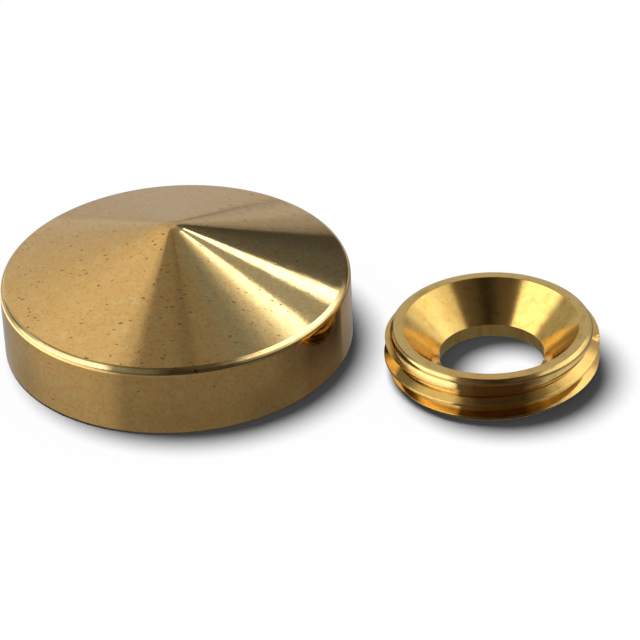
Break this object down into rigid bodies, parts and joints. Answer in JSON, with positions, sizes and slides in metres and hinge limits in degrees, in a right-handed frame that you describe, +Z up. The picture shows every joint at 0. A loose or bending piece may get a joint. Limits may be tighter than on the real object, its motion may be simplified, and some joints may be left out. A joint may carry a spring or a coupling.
{
  "type": "screw cover cap",
  "caption": "Turned brass screw cover: a pointed round cap with a threaded hole, and the threaded countersunk ring that it screws onto, lying apart.",
  "frame": {"origin": "on the axis of the ring's screw hole, at the ring's base face, which is also the plane that the cap stands on", "axes": "+Z up along the screw hole, out of the panel; X along the line through the two pieces' axes, with the cap at negative X"},
  "size_m": [0.034, 0.0198, 0.0074],
  "materials": {
    "polished_brass": "polished",
    "turned_brass": "polished"
  },
  "bodies": {
    "root": {"cover_cap": "polished_brass", "threaded_ring": "turned_brass"}
  },
  "joints": []
}
